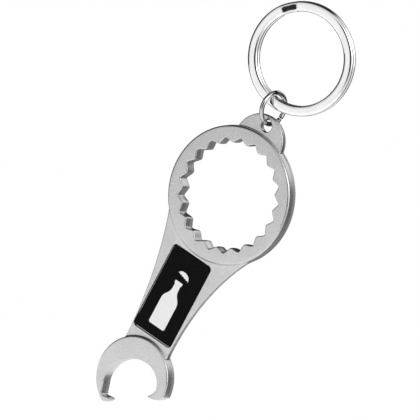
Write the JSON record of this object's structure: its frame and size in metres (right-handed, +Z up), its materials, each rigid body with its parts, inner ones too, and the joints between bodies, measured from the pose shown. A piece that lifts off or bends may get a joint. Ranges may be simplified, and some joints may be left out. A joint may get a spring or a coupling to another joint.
{
  "type": "keychain bottle opener",
  "caption": "Wrench-shaped keychain opener: a toothed ring that grips a crown cap, an open jaw, an inlaid badge, and a split ring joined by a jump ring.",
  "frame": {"origin": "point inside the top of the split ring where a hook, key or belt loop carries the whole chain", "axes": "+Z up along the hanging chain, -Y out of the badge's face, +X to the right of that face"},
  "size_m": [0.036, 0.0092, 0.1187],
  "materials": {
    "satin_nickel": "satin",
    "bright_nickel": "polished",
    "black_enamel": "satin",
    "foam_tape": "matte"
  },
  "bodies": {
    "split_ring": {"split_ring": "bright_nickel"},
    "jump_ring": {"jump_ring": "bright_nickel"},
    "opener": {"opener_casting": "satin_nickel", "badge_adhesive": "foam_tape", "badge_plate": "black_enamel"}
  },
  "joints": [
    {"name": "jump_ring_swing", "type": "hinge", "parent": "split_ring", "child": "jump_ring", "pos_m": [-0.0014, 0, -0.02579], "axis": [0.9945, 0.1045, 0], "range_deg": [-105, 105]},
    {"name": "opener_swing", "type": "hinge", "parent": "jump_ring", "child": "opener", "pos_m": [0.00045, 0, -0.03119], "axis": [0, 1, 0], "range_deg": [-35, 35]}
  ]
}
